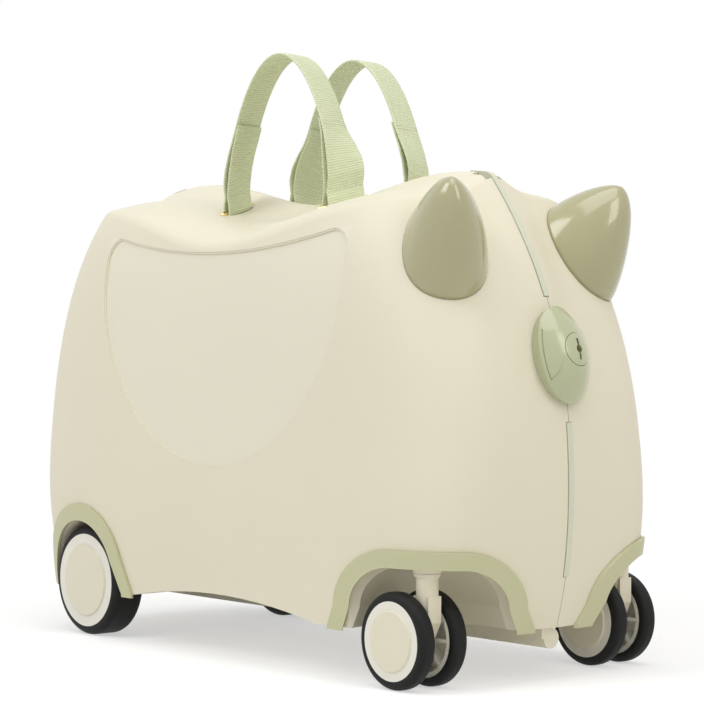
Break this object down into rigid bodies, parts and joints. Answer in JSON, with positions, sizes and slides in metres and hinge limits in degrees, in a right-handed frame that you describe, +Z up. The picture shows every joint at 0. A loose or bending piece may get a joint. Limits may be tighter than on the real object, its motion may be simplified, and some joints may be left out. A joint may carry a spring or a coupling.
{
  "type": "ride-on suitcase",
  "caption": "Child's hard-shell ride-on suitcase: saddle-topped hinged halves with horns, end catches, webbing carry straps, swivel casters and fixed rear wheels.",
  "frame": {"origin": "on the floor, under the middle of the overall box", "axes": "+X forward to the horned end, +Y to the case's left, +Z up"},
  "size_m": [0.4739, 0.2046, 0.3909],
  "materials": {
    "shell_plastic": "matt cream moulded plastic",
    "trim_plastic": "satin sage moulded plastic",
    "horn_plastic": "gloss olive sage plastic",
    "catch_plastic": "gloss sage plastic",
    "webbing": "ribbed woven webbing",
    "tyre_rubber": "black solid rubber",
    "hub_plastic": "white plastic",
    "cap_plastic": "cream plastic",
    "fork_plastic": "cream plastic",
    "steel": "plain steel",
    "bar_metal": "yellow plated wire"
  },
  "bodies": {
    "left_half": {"left_shell": "shell_plastic", "left_front_arch": "trim_plastic", "left_rear_arch": "trim_plastic", "left_horn": "horn_plastic", "left_screws": "steel", "left_strap_bars": "bar_metal", "left_strap_loops": "webbing", "left_rear_axle": "steel", "hinge_pin": "steel", "front_tow_trim": "trim_plastic", "front_lower_trim": "trim_plastic", "rear_tow_trim": "trim_plastic", "rear_lower_trim": "trim_plastic", "front_catch_base": "catch_plastic", "front_catch_pin": "steel", "rear_keeper": "catch_plastic"},
    "right_half": {"right_shell": "shell_plastic", "right_front_arch": "trim_plastic", "right_rear_arch": "trim_plastic", "right_horn": "horn_plastic", "right_screws": "steel", "right_strap_bars": "bar_metal", "right_strap_loops": "webbing", "right_rear_axle": "steel", "front_keeper": "catch_plastic", "rear_catch_base": "catch_plastic", "rear_catch_pin": "steel"},
    "front_cover": {"front_catch_cover": "catch_plastic"},
    "front_button": {"front_catch_button": "catch_plastic"},
    "front_barrel": {"front_key_barrel": "catch_plastic"},
    "rear_cover": {"rear_catch_cover": "catch_plastic"},
    "rear_button": {"rear_catch_button": "catch_plastic"},
    "rear_barrel": {"rear_key_barrel": "catch_plastic"},
    "left_caster": {"left_caster_fork": "fork_plastic", "left_caster_kingpin": "steel", "left_caster_axle": "steel"},
    "left_caster_outer_wheel": {"left_caster_outer_tyre": "tyre_rubber", "left_caster_outer_hub": "hub_plastic", "left_caster_outer_cap": "cap_plastic"},
    "left_caster_inner_wheel": {"left_caster_inner_tyre": "tyre_rubber", "left_caster_inner_hub": "hub_plastic", "left_caster_inner_cap": "cap_plastic"},
    "left_rear_wheel": {"left_rear_tyre": "tyre_rubber", "left_rear_hub": "hub_plastic", "left_rear_cap": "cap_plastic"},
    "left_handle": {"left_strap": "webbing"},
    "right_caster": {"right_caster_fork": "fork_plastic", "right_caster_kingpin": "steel", "right_caster_axle": "steel"},
    "right_caster_outer_wheel": {"right_caster_outer_tyre": "tyre_rubber", "right_caster_outer_hub": "hub_plastic", "right_caster_outer_cap": "cap_plastic"},
    "right_caster_inner_wheel": {"right_caster_inner_tyre": "tyre_rubber", "right_caster_inner_hub": "hub_plastic", "right_caster_inner_cap": "cap_plastic"},
    "right_rear_wheel": {"right_rear_tyre": "tyre_rubber", "right_rear_hub": "hub_plastic", "right_rear_cap": "cap_plastic"},
    "right_handle": {"right_strap": "webbing"}
  },
  "joints": [
    {"name": "case_hinge", "type": "hinge", "parent": "left_half", "child": "right_half", "pos_m": [0, 0, 0.026], "axis": [1, 0, 0], "range_deg": [0, 110]},
    {"name": "front_catch_swing", "type": "hinge", "parent": "left_half", "child": "front_cover", "pos_m": [0.22513, 0.0145, 0.19606], "axis": [-0.2514, 0, 0.9679], "range_deg": [0, 90]},
    {"name": "front_button_press", "type": "slide", "parent": "front_cover", "child": "front_button", "axis": [-0.9679, 0, -0.2514], "range_m": [0, 0.002], "stiffness_N_per_m": 600},
    {"name": "front_key_turn", "type": "hinge", "parent": "front_cover", "child": "front_barrel", "pos_m": [0.22952, 0.0022, 0.19823], "axis": [0.9679, 0, 0.2514], "range_deg": [0, 90]},
    {"name": "rear_catch_swing", "type": "hinge", "parent": "right_half", "child": "rear_cover", "pos_m": [-0.22666, -0.0145, 0.19589], "axis": [0.2116, 0, 0.9774], "range_deg": [0, 90]},
    {"name": "rear_button_press", "type": "slide", "parent": "rear_cover", "child": "rear_button", "axis": [0.9774, 0, -0.2116], "range_m": [0, 0.002], "stiffness_N_per_m": 600},
    {"name": "rear_key_turn", "type": "hinge", "parent": "rear_cover", "child": "rear_barrel", "pos_m": [-0.23114, -0.0022, 0.19788], "axis": [-0.9774, 0, 0.2116], "range_deg": [0, 90]},
    {"name": "left_caster_swivel", "type": "hinge", "parent": "left_half", "child": "left_caster", "pos_m": [0.192, 0.08, 0.068], "axis": [0, 0, 1], "continuous": true},
    {"name": "left_caster_outer_roll", "type": "hinge", "parent": "left_caster", "child": "left_caster_outer_wheel", "pos_m": [0.18, 0.08, 0.0289], "axis": [0, 1, 0], "continuous": true},
    {"name": "left_caster_inner_roll", "type": "hinge", "parent": "left_caster", "child": "left_caster_inner_wheel", "pos_m": [0.18, 0.08, 0.0289], "axis": [0, 1, 0], "continuous": true},
    {"name": "left_rear_roll", "type": "hinge", "parent": "left_half", "child": "left_rear_wheel", "pos_m": [-0.1455, 0.0832, 0.0378], "axis": [0, 1, 0], "continuous": true},
    {"name": "left_strap_swing", "type": "hinge", "parent": "left_half", "child": "left_handle", "pos_m": [0, 0.031, 0.309], "axis": [-1, 0, 0], "range_deg": [-10, 85], "stiffness_Nm_per_rad": 0.06},
    {"name": "right_caster_swivel", "type": "hinge", "parent": "right_half", "child": "right_caster", "pos_m": [0.192, -0.08, 0.068], "axis": [0, 0, 1], "continuous": true},
    {"name": "right_caster_outer_roll", "type": "hinge", "parent": "right_caster", "child": "right_caster_outer_wheel", "pos_m": [0.18, -0.08, 0.0289], "axis": [0, 1, 0], "continuous": true},
    {"name": "right_caster_inner_roll", "type": "hinge", "parent": "right_caster", "child": "right_caster_inner_wheel", "pos_m": [0.18, -0.08, 0.0289], "axis": [0, 1, 0], "continuous": true},
    {"name": "right_rear_roll", "type": "hinge", "parent": "right_half", "child": "right_rear_wheel", "pos_m": [-0.1455, -0.0832, 0.0378], "axis": [0, 1, 0], "continuous": true},
    {"name": "right_strap_swing", "type": "hinge", "parent": "right_half", "child": "right_handle", "pos_m": [0, -0.031, 0.309], "axis": [1, 0, 0], "range_deg": [-10, 85], "stiffness_Nm_per_rad": 0.06}
  ]
}
